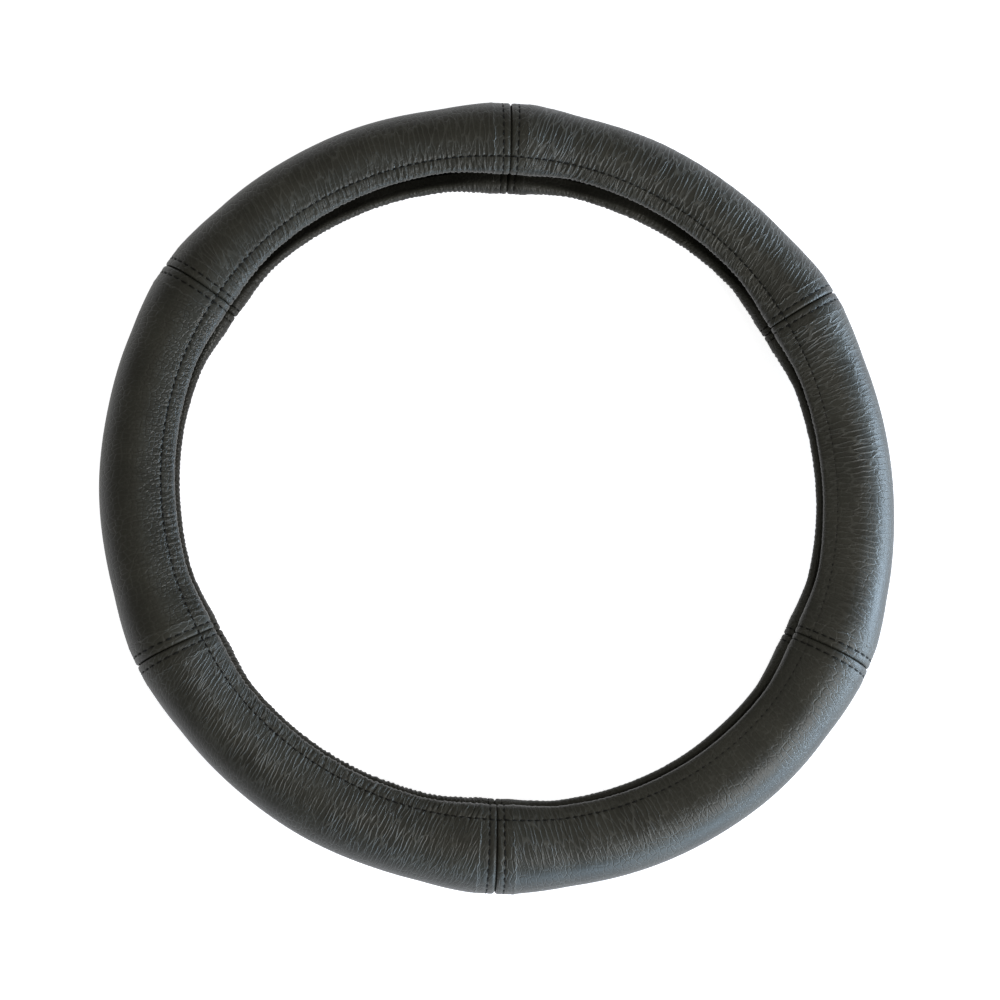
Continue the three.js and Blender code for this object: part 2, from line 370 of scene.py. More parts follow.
    def place(
        self,
        side: np.ndarray,
        angle: np.ndarray,
        distance: np.ndarray,
        turn: np.ndarray,
        depth: np.ndarray,
    ) -> np.ndarray:
        """Points at a depth out from the middle of the wall, as stand takes its places.

        The back is pressed flat where it would stand lower than the table, all layers alike.
        """
        foot, outward = self.stand(side, angle, distance, turn)
        eased = depth + self.leather.lip_ease * np.sin(turn)
        points = foot + outward * eased[..., None]
        _, plain = self.stand(side, angle, distance, np.zeros_like(turn))
        face = self.face + self.leather.lift * self.seam_share(angle)
        low = foot[..., 2] + plain[..., 2] * face
        points[..., 2] += self.pressed * np.logaddexp(0, -low / self.pressed)
        return points


@dataclass(frozen=True)
class Rows:
    """Rows of a panel's mesh from its outermost line to the free edge of a hem."""

    barrel: int = 28
    arm: int = 14
    lip: int = 11
    hem: int = 5

    @property
    def half(self) -> int:
        """Rows on one side of the outermost line."""
        return self.barrel + self.arm + self.lip + self.hem

    def across(
        self, ring: Ring, row: np.ndarray, angle: np.ndarray
    ) -> tuple[np.ndarray, np.ndarray, np.ndarray, np.ndarray]:
        """Where rows lie on the section.

        Args:
            ring: The ring that they lie on.
            row: Rows from the outermost line, positive on the front.
            angle: Where round the ring.

        Returns:
            The side, distance along the wall, turn round the lip and distance from the crest of
            the lip, which is negative on the hem.
        """
        side = np.where(row >= 0, 1, -1)
        at = np.abs(row)
        lip = ring.lip(side, angle)
        barrel = np.clip(at / self.barrel, 0, 1) * ring.barrel_length
        arm = np.clip((at - self.barrel) / self.arm, 0, 1) * (lip - ring.barrel_length)
        turn = np.clip((at - self.barrel - self.arm) / self.lip, 0, 1) * np.pi
        hem = np.clip((at - self.half + self.hem) / self.hem, 0, 1) * ring.leather.hem
        distance = barrel + arm - hem
        crest = ring.crest * (1 - turn / (np.pi / 2))
        from_crest = np.where(turn >= np.pi, crest - hem, lip - distance + crest)
        return side, distance, turn, from_crest


@dataclass(frozen=True)
class Character:
    """How one panel's leather has creased.

    Attributes:
        crease: Strength of the creases across the band.
        slant: How far the creases lean back along the ring for each length across the band, at
            the panel's first seam.
        last_slant: The same at its last seam.
        reach: How far out from the front hem the creases run, at the panel's first seam.
        last_reach: The same at its last seam.
        fade: How much weaker they are at the last seam, or at the first where it is negative.
        pucker: Strength of the gathers along the hems.
        net: Strength of the fine net of pebbles beside the hems.
        fine: How many times closer than usual the creases lie.
        steep: 1 where the creases lie over towards the last seam, and -1 towards the first.
    """

    crease: float
    slant: float
    last_slant: float
    reach: float
    last_reach: float
    fade: float = 0
    pucker: float = 1
    net: float = 0.25
    fine: float = 1
    steep: int = 1


CHARACTERS = (
    Character(1.0, -0.55, 0.45, 54 * MM, 54 * MM),
    Character(0.65, 0.0, 0.35, 28 * MM, 22 * MM, net=0.4),
    Character(0.3, -0.2, -0.1, 20 * MM, 20 * MM, pucker=0.7, net=1, steep=-1),
    Character(1.0, -0.75, 0.5, 22 * MM, 40 * MM, pucker=1.35, net=0.4, fine=1.15, steep=-1),
    Character(0.9, -0.25, 0.2, 28 * MM, 24 * MM, fade=0.8, pucker=0.5, steep=-1),
    Character(1.0, 0.1, -0.2, 28 * MM, 36 * MM, fade=-0.6, pucker=0.7),
)


@dataclass(frozen=True)
class Places:
    """Where points lie on a panel.

    Attributes:
        along: Distance along the ring from the panel's first seam.
        path: Length across the band from the outermost line, positive on the front, measured
            at the stitches' depth.
        from_crest: Distance from the crest of the lip, negative on the hem.
        length: The panel's own length from seam to seam.
    """

    along: np.ndarray
    path: np.ndarray
    from_crest: np.ndarray
    length: float

    @property
    def off(self) -> np.ndarray:
        """Distance from the nearer seam."""
        return np.minimum(self.along, self.length - self.along)

    @property
    def share(self) -> np.ndarray:
        """Share of the way from the first seam to the last."""
        return self.along / self.length


@dataclass
class LeatherPanel:
    """One leather panel between two seams, from its flat blank to its wrapped form.

    Attributes:
        number: Its number round the ring.
        start: The angle of its first seam.
        end: The angle of its last seam.
        ring: The ring that it covers.
        character: How it has creased.
        rows: Its rows of points.
        column: Width of a column of points.
        under_columns: Columns of an allowance.
        fold_columns: Columns of a fold.
        ridge_edge: Where a seam's ridge gives way to plain leather, from its nominal edge.
        fading: The shares of the way between which creases fade.
        pucker_pitch: Length that each gather takes.
        pucker_depth: Height of the gathers.
        pucker_band: Where they stand, as drawn_in takes it.
        pucker_wander: How far they stray, in radians.
        fine_pucker: Height of the ruffles on them, as a share.
        gathered_band: Where the finish shows gathers, as drawn_in takes it.
        taut: How far before the stitches the gathers start to weaken.
        seam_hold: Share of the gathers that a seam's ridge leaves.
        crease_pitch: Length that each crease takes.
        crease_depth: Height of the creases.
        crease_run: Length of a crease across the band.
        crease_start: Where creases start and are full, from the hem's stitches.
        crease_sway: How far they stray, in creases.
        fine_crease: Pitch of the finer creases, as a share.
        fine_depth: Their height, as a share.
        fine_run: Their length across the band.
        mean_crease: The creases' mean height, which is taken off.
        net_reach: Where the net of pebbles starts to fade and ends, from the hem's stitches.
        net_hold: Share of the gathers that the net takes away.
        dent_share: Share of its depth that a dent keeps a quarter of a stitch from its middle.
        topstitch_dent: Half width of the dents under the topstitches.
        hem_dent: The same under the hem's stitches.
        bitten: Share of the hem's dents that is gone where its stitches bite most.
        edge_mark: Height of the line over an allowance's free edge.
        edge_past: How far past that edge the line stands.
        edge_sway: How far the line strays, and its half width.
        wave: Height of the slow waves.
        press: How softly the back is pressed flat on the table.
        blank_gap: Distance between two panels' blanks in the leather's pattern.
        fine_cell: The first cell of the finer creases' noise.
        hide: The panel's own noise. Each field in _cells is the cells of one use of it.
    """

    number: int
    start: float
    end: float
    ring: Ring
    character: Character
    rows: Rows = field(default_factory=Rows)
    column: float = 0.68 * MM
    under_columns: int = 5
    fold_columns: int = 9
    ridge_edge: tuple[float, float] = (-2 * MM, 3 * MM)
    fading: tuple[float, float] = (0.2, 0.9)
    pucker_pitch: float = 2.7 * MM
    pucker_depth: float = 0.36 * MM
    pucker_band: tuple[float, float, float] = (-5 * MM, 1.5 * MM, 6 * MM)
    pucker_wander: float = 3.4
    fine_pucker: float = 0.5
    gathered_band: tuple[float, float, float] = (-3 * MM, 0, 5 * MM)
    taut: float = 0.5 * MM
    seam_hold: float = 0.35
    crease_pitch: float = 3.4 * MM
    crease_depth: float = 0.15 * MM
    crease_run: float = 13 * MM
    crease_start: tuple[float, float] = (-3 * MM, 2 * MM)
    crease_sway: float = 0.5
    fine_crease: float = 0.6
    fine_depth: float = 0.25
    fine_run: float = 7 * MM
    mean_crease: float = 0.4
    net_reach: tuple[float, float] = (4 * MM, 24 * MM)
    net_hold: float = 0.7
    dent_share: float = 0.65
    topstitch_dent: float = 0.8 * MM
    hem_dent: float = 0.85 * MM
    bitten: float = 0.7
    edge_mark: float = 0.25 * MM
    edge_past: float = 0.5 * MM
    edge_sway: float = 0.8 * MM
    wave: float = 0.3 * MM
    press: float = 0.15 * MM
    blank_gap: float = 0.37
    pucker_cells: Cells = Cells(9 * MM, 12 * MM)
    slack_cells: Cells = Cells(6 * MM, 7 * MM, 50)
    ruffle_cells: Cells = Cells(1.7 * MM, 4 * MM, 20)
    patch_cells: Cells = Cells(24 * MM, 19 * MM, 9)
    sway_cells: Cells = Cells(8 * MM, 6 * MM, 40)
    wave_cells: Cells = Cells(34 * MM, 26 * MM, 30)
    edge_cells: Cells = Cells(1 * MM, 9 * MM, 5)
    edge_patch_cells: Cells = Cells(40 * MM, 11 * MM, 70)
    fine_cell: int = 80
    hide: Hide = field(init=False)

    def __post_init__(self) -> None:
        """Picks the panel's own hide."""
        self.hide = Hide(self.number)

    @property
    def name(self) -> str:
        """The name of the node that the panel stands for."""
        return f"leather_panel_{self.number}"

    @property
    def length(self) -> float:
        """Length along the ring, from seam to seam."""
        return (self.end - self.start) * self.ring.middle_radius

    def cut(self) -> tuple[float, float]:
        """Size of the flat blank: its length round the ring and its width across the band."""
        leather = self.ring.leather
        lips = [self.ring.lip(np.array(side), np.array(self.start)) for side in (-1, 1)]
        bend = np.pi * (self.ring.flesh + leather.thickness / 2)
        return self.length + 2 * leather.allowance, float(sum(lips) + 2 * (bend + leather.hem))

    def seam_edge(self) -> tuple[np.ndarray, np.ndarray, np.ndarray]:
        """Stations from an allowance's free edge over the fold to the foot of the ramp.

        Returns:
            The distance from the seam, the depth of the leather's middle and the share of the
            outer layer at each station.
        """
        leather = self.ring.leather
        low = self.ring.flesh + leather.thickness / 2
        bend = leather.lift / 2
        hub = leather.seam_gap / 2 + leather.thickness / 2 + bend
        under = np.linspace(leather.allowance, hub, self.under_columns, endpoint=False)
        turn = np.linspace(-np.pi / 2, np.pi / 2, self.fold_columns)
        foot = leather.ridge + leather.ramp + leather.ramp_round
        over = np.arange(hub + self.column, foot, self.column)
        reach = bend * np.cos(turn) ** leather.fold_square
        off = np.concatenate([under, hub - reach, over])
        folded = low + bend * (1 + np.sin(turn))
        depth = [np.full(under.size, low), folded, low + leather.lift * self.ring.ramp(over)]
        outer = [np.zeros(under.size), (1 + np.sin(turn)) / 2, np.ones(over.size)]
        return off, np.concatenate(depth), np.concatenate(outer)

    def columns(self) -> tuple[np.ndarray, np.ndarray, np.ndarray]:
        """Stations of all columns, from one allowance's free edge to the other's.

        Returns:
            The distance from the first seam, the depth and the share of the outer layer.
        """
        off, depth, outer = self.seam_edge()
        low = self.ring.flesh + self.ring.leather.thickness / 2
        foot = off[-1] + self.column
        count = round((self.length - 2 * foot) / self.column)
        middle = np.linspace(foot, self.length - foot, count)
        along = np.concatenate([off, middle, self.length - off[::-1]])
        flat = np.full(count, low)
        return (
            along,
            np.concatenate([depth, flat, depth[::-1]]),
            np.concatenate([outer, np.ones(count), outer[::-1]]),
        )

    def blank(self, columns: int) -> bpy.types.Object:
        """Cuts the flat blank.

        Args:
            columns: How many columns of points it has.

        Returns:
            The blank, a flat grid a metre square.
        """
        bpy.ops.object.select_all(action="DESELECT")
        bpy.ops.mesh.primitive_grid_add(
            x_subdivisions=columns - 1,
            y_subdivisions=2 * self.rows.half,
            size=1,
            calc_uvs=True,
            location=(0, 0, 0),
        )
        blank = bpy.context.object
        blank.name = self.name + "_dressed"
        blank.data.name = blank.name
        blank.data.uv_layers[0].name = "blank"
        return blank

    @property
    def stitch_row(self) -> float:
        """Distance from the crest of a lip to the hem's row of stitches."""
        return self.ring.leather.hem_stitch + self.ring.crest

    def lean(self, at: Places) -> np.ndarray:
        """Where the crease through a point would meet the lip, in metres along the ring."""
        own, ring = self.character, self.ring
        slant = own.slant + (own.last_slant - own.slant) * at.along / self.length
        crest = ring.barrel_length + ring.front_arm + ring.crest
        return at.along + slant * (crest - np.abs(at.path))

    def noise(self, cells: Cells, at: Places) -> np.ndarray:
        """Noise from -1 to 1 over the panel."""
        return self.hide(at.along / cells.along + cells.first, at.path / cells.across)

    def clear(self, at: Places) -> np.ndarray:
        """0 on a seam's ridge and 1 away from it."""
        low, high = self.ridge_edge
        ridge = self.ring.leather.ridge
        return ease(ridge + low, ridge + high, at.off)

    def faded(self, at: Places) -> np.ndarray:
        """How strong creases and gathers still are where they fade towards a seam."""
        fade = self.character.fade
        return 1 - np.abs(fade) * ease(*self.fading, at.share if fade > 0 else 1 - at.share)

    def drawn_in(self, at: Places, start: float, full: float, past: float) -> np.ndarray:
        """How strongly the hem's stitches draw the leather in.

        Args:
            at: Where the points lie.
            start: Distance from the lip's crest at which it starts.
            full: Distance from the crest at which it is strongest.
            past: How far past the stitches it ends.

        Returns:
            The strength at each point.
        """
        row = self.stitch_row
        band = ease(start, full, at.from_crest)
        band = band * (1 - ease(row - self.taut, row + past, at.from_crest))
        held = softened(self.seam_hold, self.clear(at))
        return band * self.character.pucker * self.faded(at) * held

    def puckers(self, at: Places) -> np.ndarray:
        """Rise of the gathers along a hem."""
        phase = 2 * np.pi * self.lean(at) / self.pucker_pitch
        phase = phase + self.pucker_wander * self.noise(self.pucker_cells, at)
        strength = softened(0.6, self.noise(self.slack_cells, at))
        ruffle = (1 - 2 * np.abs(np.sin(phase / 2))) * strength
        ruffle = ruffle + self.fine_pucker * self.noise(self.ruffle_cells, at)
        return self.pucker_depth * ruffle * self.drawn_in(at, *self.pucker_band)

    def creased(self, at: Places) -> np.ndarray:
        """How strongly the leather is creased across the band."""
        own, row = self.character, self.stitch_row
        start, full = self.crease_start
        reach = own.reach + (own.last_reach - own.reach) * at.share
        run = 1 - ease(0.5, 1, (at.from_crest - row) / reach)
        beyond = ease(row + start, row + full, at.from_crest)
        patch = softened(0.5, ease(-0.9, 0.2, self.noise(self.patch_cells, at)))
        return own.crease * run * beyond * patch * self.clear(at) * self.faded(at)

    def creases(self, at: Places) -> np.ndarray:
        """Rise of the creases at their full strength."""
        lean, sway = self.lean(at), self.crease_sway * self.noise(self.sway_cells, at)
        folds = self.hide(lean / self.crease_pitch + sway, at.path / self.crease_run)
        fine = lean / (self.fine_crease * self.crease_pitch) - sway + self.fine_cell
        fine = self.hide(fine, at.path / self.fine_run)
        sharp = (1 - np.abs(folds)) ** 3 + self.fine_depth * (1 - np.abs(fine)) ** 3
        return self.crease_depth * (sharp - self.mean_crease)

    def dents(self, phase: np.ndarray, width: float, off: np.ndarray) -> np.ndarray:
        """Rise of the leather under a row of stitches, which is deepest in the middle of each.

        Args:
            phase: Where the points lie along the row, a whole turn to each stitch.
            width: Half width of the dents.
            off: Distance from the row.

        Returns:
            The rise at each point.
        """
        depth = self.ring.leather.groove
        return -depth * softened(self.dent_share, np.cos(phase)) * bell(0, width, off)

    def edge_line(self, at: Places) -> np.ndarray:
        """Rise over an allowance's free edge, which shows through the leather."""
        edge = self.ring.leather.allowance + self.edge_past
        edge = edge + self.edge_sway * self.noise(self.edge_cells, at)
        strength = softened(0.6, self.noise(self.edge_patch_cells, at))
        return self.edge_mark * bell(edge, self.edge_sway, at.off) * strength

    def relief(self, at: Places) -> tuple[np.ndarray, np.ndarray, np.ndarray]:
        """How the outer face rises and falls.

        Args:
            at: Where the points lie.

        Returns:
            The rise of the leather, and how strongly it is creased and netted there.
        """
        own, row, clear = self.character, self.stitch_row, self.clear(at)
        creased = self.creased(at)
        gathered = self.drawn_in(at, *self.gathered_band) * (1 - self.net_hold * own.net)
        fades, ends = self.net_reach
        netted = own.net * (1 - ease(row + fades, row + ends, at.from_crest)) * clear
        topstitch = at.off - self.ring.leather.topstitch
        rise = self.puckers(at) + self.creases(at) * creased
        rise = rise + self.wave * self.noise(self.wave_cells, at) * clear
        rise = rise + self.dents(self.seam_phase(at.path), self.topstitch_dent, topstitch)
        hem = self.dents(self.hem_phase(at.along), self.hem_dent, at.from_crest - row)
        rise = rise + hem * self.hem_mark(at.along) + self.edge_line(at)
        return rise, np.maximum(creased, gathered), netted

    def hem_mark(self, along: np.ndarray) -> np.ndarray:
        """How plainly the hem's stitches mark the leather."""
        return 1 - self.bitten * self.ring.bite(self.start + along / self.ring.middle_radius)

    def seam_phase(self, path: np.ndarray) -> np.ndarray:
        """Where places across the band lie in a topstitch, a whole turn to each stitch."""
        return 2 * np.pi * path / self.ring.leather.topstitch_pitch

    def hem_phase(self, along: np.ndarray) -> np.ndarray:
        """Where places along the ring lie in the hem's row of stitches, a whole turn to each."""
        return (self.start + along / self.ring.middle_radius) * self.ring.hem_stitches

    def build(self) -> bpy.types.Object:
        """Wraps the blank round the ring, and gives it its thickness.

        Returns:
            The panel.
        """
        along, depth, outer = self.columns()
        blank = self.blank(along.size)
        mesh = blank.data
        flat = points_of(mesh)
        column = np.rint((flat[:, 0] + 0.5) * (along.size - 1)).astype(int)
        row = np.rint((flat[:, 1] + 0.5) * 2 * self.rows.half) - self.rows.half
        along, depth, outer = along[column], depth[column], outer[column]
        angle = self.start + along / self.ring.middle_radius
        side, distance, turn, from_crest = self.rows.across(self.ring, row, angle)
        path = side * (distance + turn * (self.ring.face + self.ring.leather.lift))
        at = Places(along, path, from_crest, self.length)
        rise, creased, netted = self.relief(at)
        points = self.ring.place(side, angle, distance, turn, depth + rise * outer)
        low = self.ring.leather.thickness / 2
        points[:, 2] = low + self.press * np.logaddexp(0, (points[:, 2] - low) / self.press)
        move_points(mesh, points)
        marks = {
            "crease": creased * outer,
            "net": netted * outer,
            "lean": self.character.steep * self.character.fine * self.lean(at),
            "beside_seam": at.off,
            "beside_hem": self.stitch_row - from_crest,
            "seam_phase": self.seam_phase(path),
            "hem_phase": self.hem_phase(along),
            "hem_mark": self.hem_mark(along),
        }
        for name, values in marks.items():
            mark = mesh.attributes.new(name, "FLOAT", "POINT")
            mark.data.foreach_set("value", values.astype(np.float32))
        self.mark_blank(mesh, at)
        shell = blank.modifiers.new("thickness", "SOLIDIFY")
        shell.thickness = self.ring.leather.thickness
        shell.offset = 0
        bpy.ops.object.modifier_apply(modifier=shell.name)
        bpy.ops.object.shade_smooth()
        return blank

    def mark_blank(self, mesh: bpy.types.Mesh, at: Places) -> None:
        """Marks each corner of a panel's mesh with its place on the flat blank, in metres."""
        corners = np.empty(len(mesh.loops), dtype=np.int32)
        mesh.loops.foreach_get("vertex_index", corners)
        apart = self.blank_gap * self.number
        places = np.stack([at.along[corners] + apart, at.path[corners]], -1)
        mesh.uv_layers["blank"].data.foreach_set("uv", places.astype(np.float32).ravel())


@dataclass
class RubberRing:
    """The moulded rubber ring under the leather, a channel with one grip rib."""

    ring: Ring
    stations: int = 240
    section: int = 64
    bend_share: float = 0.06
    rib_width: float = 1.5 * MM

    def build(self) -> bpy.types.Object:
        """Draws a torus out into the channel's section.

        Returns:
            The rubber ring.
        """
        bpy.ops.object.select_all(action="DESELECT")
        bpy.ops.mesh.primitive_torus_add(
            major_segments=self.stations,
            minor_segments=self.section,
            major_radius=1,
            minor_radius=0.25,
        )
        piece = bpy.context.object
        piece.name = "rubber_ring_dressed"
        piece.data.name = piece.name
        x, y, z = points_of(piece.data).T
        angle = np.arctan2(y, x)
        spin = np.arctan2(z, np.hypot(x, y) - 1)
        side = np.where(spin >= 0, 1, -1)
        share = np.abs(spin) / np.pi
        face = (1 - self.bend_share) / 2
        lip = self.ring.lip(side, angle)
        turn = np.clip((share - face) / self.bend_share, 0, 1) * np.pi
        distance = lip * np.minimum(np.minimum(share, 1 - share) / face, 1)
        rib = self.ring.rib_height * bell(0, self.rib_width, distance) * (turn > np.pi / 2)
        points = self.ring.place(side, angle, distance, turn, self.ring.wall / 2 + rib)
        move_points(piece.data, points)
        bpy.ops.object.shade_smooth()
        return piece


@dataclass
class Stitch:
    """One stitch, a short bent capsule that is modelled once and copied along its rows."""

    length: float
    thickness: float
    dip: float = 0.35 * MM
    sides: int = 6
    rings: int = 6

    def build(self) -> bpy.types.Object:
        """Stretches a ball along X and bends its ends down.

        Returns:
            The stitch, at the origin.
        """
        bpy.ops.object.select_all(action="DESELECT")
        bpy.ops.mesh.primitive_uv_sphere_add(
            segments=self.sides,
            ring_count=self.rings,
            radius=self.thickness / 2,
            rotation=(0, math.pi / 2, 0),
        )
        bpy.ops.object.transform_apply(location=False, rotation=True, scale=False)
        stitch = bpy.context.object
        pull = (self.length - self.thickness) / 2
        middle = self.thickness / 20
        for vertex in stitch.data.vertices:
            x = vertex.co.x
            vertex.co.x += math.copysign(pull, x) if abs(x) > middle else 0
            vertex.co.z -= self.dip * (2 * vertex.co.x / self.length) ** 2
        return stitch

    def row(self, name: str, count: int, pitch: float) -> bpy.types.Object:
        """Copies the stitch into a straight row along X, from the origin.

        Args:
            name: The row's name.
            count: How many stitches it has.
            pitch: The length that each takes.

        Returns:
            The row.
        """
        row = self.build()
        row.name = name
        row.data.name = name
        copies = row.modifiers.new("copies", "ARRAY")
        copies.count = count
        copies.use_relative_offset = False
        copies.use_constant_offset = True
        copies.constant_offset_displace = (pitch, 0, 0)
        bpy.ops.object.modifier_apply(modifier=copies.name)
        return row


@dataclass
class Sewing:
    """All the rows of stitches in the cover.

    Attributes:
        ring: The ring that they are sewn on.
        seam_stitch: Length of a topstitch's stitches.
        hem_stitch: Length of a hem's stitches.
        closing_pitch: Length that each stitch of a closing thread takes.
        sunk: How deep the middle of the thread lies under the leather's face.
        bite: How much deeper it lies where the hem's stitches bite most.
    """

    ring: Ring
    seam_stitch: float = 2.5 * MM
    hem_stitch: float = 2.7 * MM
    closing_pitch: float = 4 * MM
    sunk: float = 0.16 * MM
    bite: float = 0.09 * MM

    def unroll(
        self, path: np.ndarray, angle: np.ndarray, depth: float
    ) -> tuple[np.ndarray, np.ndarray, np.ndarray]:
        """Where a length along the section ends up.

        Args:
            path: Length from the outermost line, positive towards the front.
            angle: Where round the ring.
            depth: Depth at which the length is measured round the lip.

        Returns:
            The side, distance along the wall and turn round the lip.
        """
        side = np.where(path >= 0, 1, -1)
        lip = self.ring.lip(side, angle)
        past = np.clip(np.abs(path) - lip, 0, None)
        turn = np.clip(past / (np.pi * depth), 0, 1) * np.pi
        under = np.clip(past - np.pi * depth, 0, None)
        return side, np.minimum(np.abs(path), lip) - under, turn

    def across(
        self, name: str, seam: float, beside: float, depth: float, pitch: float
    ) -> bpy.types.Object:
        """Sews a row across the band, from the free edge of one hem to that of the other.

        Args:
            name: The row's name.
            seam: The seam that it follows.
            beside: How far it stands beside the seam.
            depth: Depth of the middle of the thread.
            pitch: The length that each stitch takes.

        Returns:
            The row.
        """
        leather = self.ring.leather
        angle = np.array(seam + beside / self.ring.middle_radius)
        ends = [
            int((self.ring.lip(np.array(side), angle) + np.pi * depth + leather.hem) / pitch - 0.5)
            for side in (-1, 1)
        ]
        length = self.seam_stitch * pitch / leather.topstitch_pitch
        row = Stitch(length, leather.thread).row(name, sum(ends) + 1, pitch)
        x, y, z = points_of(row.data).T
        angle = angle + y / self.ring.middle_radius
        side, distance, turn = self.unroll(x - ends[0] * pitch, angle, depth)
        return self.lay(row, self.ring.place(side, angle, distance, turn, depth + z))

    def around(self, name: str, side: int) -> bpy.types.Object:
        """Sews a row round the ring, beside a lip.

        Args:
            name: The row's name.
            side: 1 for the front and -1 for the back.

        Returns:
            The row.
        """
        leather = self.ring.leather
        count = self.ring.hem_stitches
        row = Stitch(self.hem_stitch, leather.thread).row(name, count, leather.hem_pitch)
        x, y, z = points_of(row.data).T
        angle = 2 * np.pi * x / (count * leather.hem_pitch)
        lift = leather.lift * self.ring.seam_share(angle)
        depth = self.ring.face + lift - self.sunk - self.bite * self.ring.bite(angle) + z
        distance = self.ring.lip(np.array(side), angle) - leather.hem_stitch + y
        points = self.ring.place(np.array(side), angle, distance, np.array(0.0), depth)
        return self.lay(row, points)

    def lay(self, row: bpy.types.Object, points: np.ndarray) -> bpy.types.Object:
        """Lays a straight row at its points, with its faces turned outwards.

        Args:
            row: The row.
            points: A place for each of its points.

        Returns:
            The row.
        """
        move_points(row.data, points)
        bpy.ops.object.mode_set(mode="EDIT")
        bpy.ops.mesh.select_all(action="SELECT")
        bpy.ops.mesh.normals_make_consistent(inside=False)
        bpy.ops.object.mode_set(mode="OBJECT")
        bpy.ops.object.shade_smooth()
        return row

    def build(self) -> dict[str, bpy.types.Object]:
        """Sews every row.

        Returns:
            Each row, under the name of the node that it stands for.
        """
        ring, leather = self.ring, self.ring.leather
        top = ring.face + leather.lift - self.sunk
        low = ring.flesh + leather.thread / 2
        rows = {}
        for number, seam in enumerate(ring.seams, start=1):
            sewn = {
                f"seam_{number}_closing_thread": (0, low, self.closing_pitch),
                f"seam_{number}_topstitch_near": (-leather.topstitch, top, leather.topstitch_pitch),
                f"seam_{number}_topstitch_far": (leather.topstitch, top, leather.topstitch_pitch),
            }
            for node, (beside, depth, pitch) in sewn.items():
                rows[node] = self.across(node + "_dressed", seam, beside, depth, pitch)
        rows["front_hem_stitching"] = self.around("front_hem_stitching_dressed", 1)
        rows["back_hem_stitching"] = self.around("back_hem_stitching_dressed", -1)
        return rows


@dataclass(frozen=True)
class Value:
    """A shader socket that works in arithmetic."""

    nodes: Nodes
    socket: bpy.types.NodeSocket

    def math(self, operation: str, *others: Value | float) -> Value:
        """A Math node on this value and others.

        Args:
            operation: The node's operation.
            *others: Its other operands.

        Returns:
            The result.
        """
        inputs = dict(enumerate((self, *others)))
        return self.nodes.add("ShaderNodeMath", {"operation": operation}, inputs)

    def step(self, low: float, high: float) -> Value:
        """0 below low, 1 above high, and smooth between."""
        ranges = {"From Min": low, "From Max": high}
        settings = {"interpolation_type": "SMOOTHSTEP"}
        return self.nodes.add("ShaderNodeMapRange", settings, {"Value": self, **ranges})

    def __add__(self, other: Value | float) -> Value:
        """Sum."""
        return self.math("ADD", other)

    def __mul__(self, other: Value | float) -> Value:
        """Product."""
        return self.math("MULTIPLY", other)

    def __sub__(self, other: Value | float) -> Value:
        """Difference."""
        return self.math("SUBTRACT", other)

    def __rsub__(self, other: float) -> Value:
        """Difference from a number."""
        return self.math("MULTIPLY_ADD", -1.0, other)

    __radd__ = __add__
    __rmul__ = __mul__


class Nodes:
    """The node tree of a material or the world, under construction."""

    def __init__(self, tree: bpy.types.NodeTree) -> None:
        """Clears the tree.

        Args:
            tree: The tree.
        """
        self.tree = tree
        tree.nodes.clear()

    def add(
        self,
        kind: str,
        settings: dict | None = None,
        inputs: dict | None = None,
        output: int | str = 0,
    ) -> Value:
        """Adds a node.

        Args:
            kind: The node's type.
            settings: Its properties, which are set first.
            inputs: Values or links of its sockets, by name or number.
            output: The output that is wanted.

        Returns:
            The output.
        """
        node = self.tree.nodes.new(kind)
        for name, setting in (settings or {}).items():
            setattr(node, name, setting)
        for name, given in (inputs or {}).items():
            if isinstance(given, Value):
                self.tree.links.new(given.socket, node.inputs[name])
            else:
                node.inputs[name].default_value = given
        return Value(self, node.outputs[output] if len(node.outputs) else None)

    def vector(self, operation: str, *operands: Value | tuple[float, float, float]) -> Value:
        """A Vector Math node on its operands."""
        inputs = dict(enumerate(operands))
        return self.add("ShaderNodeVectorMath", {"operation": operation}, inputs)

    def blend(self, share: Value | float, low: Value | tuple, high: Value | tuple) -> Value:
        """A colour between two others.

        Args:
            share: 0 for the first and 1 for the second.
            low: The first colour.
            high: The second colour.

        Returns:
            The colour.
        """
        inputs = {0: share, 6: low, 7: high}
        return self.add("ShaderNodeMix", {"data_type": "RGBA"}, inputs, 2)

    def noise(self, place: Value, size: float, detail: float = 2, output: int = 0) -> Value:
        """Noise with patches of about a size, in metres."""
        inputs = {"Vector": place, "Scale": 1 / size, "Detail": detail}
        return self.add("ShaderNodeTexNoise", None, inputs, output)

    def bump(self, height: Value, metres: float) -> Value:
        """A bump whose height of 1 is a length in metres."""
        inputs = {"Height": height, "Distance": metres, "Strength": 1.0}
        return self.add("ShaderNodeBump", None, inputs)

    def painted(self, name: str) -> Value:
        """A value that each point of a piece holds."""
        return self.add("ShaderNodeAttribute", {"attribute_name": name}, None, "Fac")

    def part(self, vector: Value, axis: str) -> Value:
        """One part of a vector, X, Y or Z."""
        return self.add("ShaderNodeSeparateXYZ", None, {"Vector": vector}, axis)

    def surface(self, kind: str, inputs: dict) -> None:
        """Ends a material's tree with a shader."""
        self.add("ShaderNodeOutputMaterial", None, {"Surface": self.add(kind, None, inputs)})


def tint(red: float, green: float, blue: float) -> tuple[float, float, float, float]:
    """A colour from its linear parts."""
    return red, green, blue, 1.0


def start_material(name: str) -> tuple[bpy.types.Material, Nodes]:
    """Starts a material with an empty tree of nodes."""
    material = bpy.data.materials.new(name)
    material.use_nodes = True
    return material, Nodes(material.node_tree)


